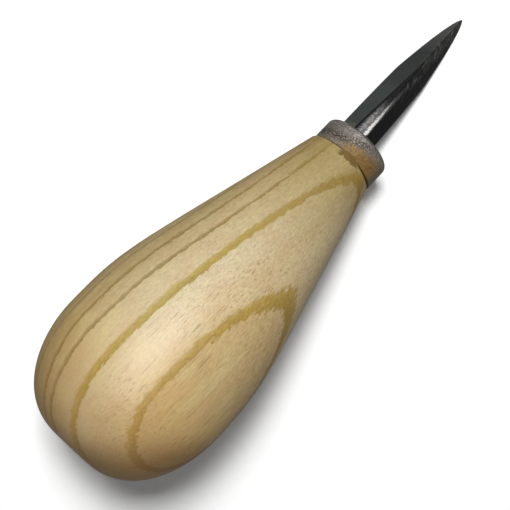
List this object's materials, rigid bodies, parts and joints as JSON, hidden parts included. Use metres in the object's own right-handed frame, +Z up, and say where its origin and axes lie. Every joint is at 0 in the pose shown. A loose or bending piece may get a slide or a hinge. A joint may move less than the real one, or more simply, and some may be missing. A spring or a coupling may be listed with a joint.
{
  "type": "leather awl",
  "caption": "Leather awl with a pear-shaped turned ash handle, a short steel ferrule and a leaf-shaped, three-sided steel point; pierces and opens holes in leather.",
  "frame": {"origin": "on the ground plane, under the middle of the object's box as it lies on a table", "axes": "+X along the tool towards the tip, +Z up; the tool's own axis lies in the XZ plane and dips towards the tip"},
  "size_m": [0.1214, 0.0398, 0.0417],
  "materials": {
    "oiled_ash": "turned, sanded and oiled to a satin sheen, with open pores",
    "dull_steel": "dull and mottled, with a brown film of oil towards the wood",
    "dark_ground_steel": "dark, ground flats with cross scratches"
  },
  "bodies": {
    "root": {"handle": "oiled_ash", "ferrule": "dull_steel", "blade": "dark_ground_steel"}
  },
  "joints": []
}
